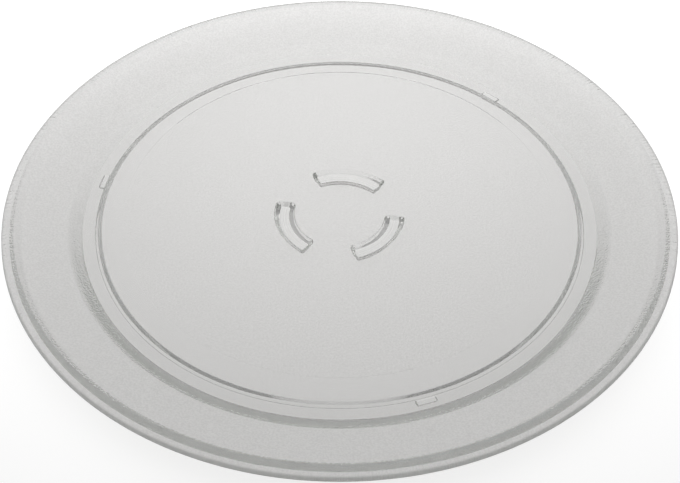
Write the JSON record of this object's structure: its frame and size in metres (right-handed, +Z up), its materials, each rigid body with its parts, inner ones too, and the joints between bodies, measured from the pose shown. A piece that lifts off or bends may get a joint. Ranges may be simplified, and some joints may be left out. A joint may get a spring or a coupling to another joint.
{
  "type": "microwave turntable plate",
  "caption": "Round shallow pressed-glass dish with a sloping rim and thin lip, a foot ring and curved drive lugs underneath, turned by a microwave oven's coupler.",
  "frame": {"origin": "on the plate's axis, on the surface that the standing pads rest on", "axes": "+Z up along the plate's axis, +X to the right and +Y away from the viewer of the picture"},
  "size_m": [0.3998, 0.3998, 0.0189],
  "materials": {
    "clear_glass": "clear pressed glass, faintly grey-green where it is thick, with a fine stipple"
  },
  "bodies": {
    "root": {"turntable_plate": "clear_glass"}
  },
  "joints": []
}
